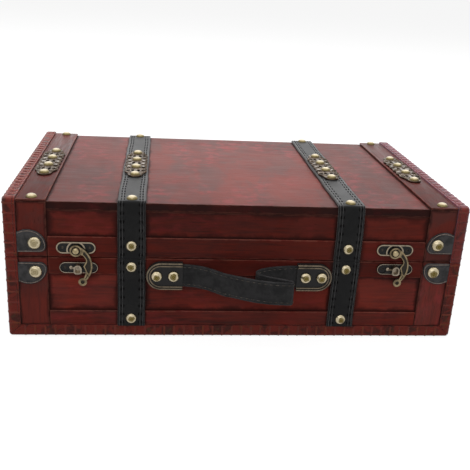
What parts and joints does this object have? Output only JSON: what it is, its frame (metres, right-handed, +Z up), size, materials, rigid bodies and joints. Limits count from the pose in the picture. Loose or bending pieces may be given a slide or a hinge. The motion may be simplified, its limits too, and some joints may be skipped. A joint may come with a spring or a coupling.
{
  "type": "suitcase box",
  "caption": "Wooden keepsake box shaped like a small suitcase, with a hinged lid, leather straps, swing-hook latches and a folded strap handle.",
  "frame": {"origin": "centre of the case's underside, midway between its ends and between its front and back boards", "axes": "+X to the right along the length as seen from the front, +Y from the front to the hinged back, +Z up; the front with the latches and the handle looks along -Y"},
  "size_m": [0.34, 0.2452, 0.1107],
  "materials": {
    "stained_wood": "red stained and varnished, with an open grain",
    "embossed_edging": "embossed dark red edging, satin",
    "black_leather": "smooth black, stitched edges",
    "aged_brass": "worn polish",
    "dark_bronze": "antiqued, dark"
  },
  "bodies": {
    "base": {"base_front_board": "stained_wood", "base_back_board": "stained_wood", "base_left_board": "stained_wood", "base_right_board": "stained_wood", "base_bottom_board": "stained_wood", "base_stile_left": "stained_wood", "base_stile_right": "stained_wood", "base_upper_rail": "stained_wood", "base_lower_rail": "stained_wood", "base_edging_left": "embossed_edging", "base_edging_right": "embossed_edging", "base_edging_front": "embossed_edging", "base_edging_back": "embossed_edging", "base_strap_left": "black_leather", "base_strap_right": "black_leather", "base_corner_patch_left": "black_leather", "base_corner_patch_right": "black_leather", "handle_cap_left": "dark_bronze", "handle_cap_right": "dark_bronze", "handle_strap": "black_leather", "handle_rivet_left_inner": "aged_brass", "handle_rivet_left_outer": "aged_brass", "handle_rivet_right_inner": "aged_brass", "handle_rivet_right_outer": "aged_brass", "latch_keeper_left": "dark_bronze", "latch_keeper_right": "dark_bronze", "hinge_base_leaf_left": "dark_bronze", "hinge_base_leaf_right": "dark_bronze", "hinge_pin_left": "dark_bronze", "hinge_pin_right": "dark_bronze"},
    "lid": {"lid_top_board": "stained_wood", "lid_front_board": "stained_wood", "lid_back_board": "stained_wood", "lid_left_board": "stained_wood", "lid_right_board": "stained_wood", "lid_stile_left": "stained_wood", "lid_stile_right": "stained_wood", "lid_rail": "stained_wood", "lid_edging_left": "embossed_edging", "lid_edging_right": "embossed_edging", "top_strip_left": "stained_wood", "top_strip_right": "stained_wood", "lid_strap_left": "black_leather", "lid_strap_right": "black_leather", "ornament_strip_left": "dark_bronze", "ornament_strap_left": "dark_bronze", "ornament_strap_right": "dark_bronze", "ornament_strip_right": "dark_bronze", "lid_corner_patch_left": "black_leather", "lid_corner_patch_right": "black_leather", "latch_plate_left": "dark_bronze", "latch_plate_right": "dark_bronze", "latch_rivet_left": "aged_brass", "latch_rivet_right": "aged_brass", "hinge_lid_leaf_left": "dark_bronze", "hinge_lid_leaf_right": "dark_bronze"},
    "latch_hook_left": {"latch_hook_left": "dark_bronze"},
    "latch_hook_right": {"latch_hook_right": "dark_bronze"}
  },
  "joints": [
    {"name": "lid_hinge", "type": "hinge", "parent": "base", "child": "lid", "pos_m": [0, 0.1072, 0.0635], "axis": [-1, 0, 0], "range_deg": [0, 105]},
    {"name": "hook_swing_left", "type": "hinge", "parent": "lid", "child": "latch_hook_left", "pos_m": [-0.1195, -0.108, 0.0696], "axis": [0, -1, 0], "range_deg": [0, 120]},
    {"name": "hook_swing_right", "type": "hinge", "parent": "lid", "child": "latch_hook_right", "pos_m": [0.1161, -0.108, 0.0714], "axis": [0, -1, 0], "range_deg": [0, 120]}
  ]
}
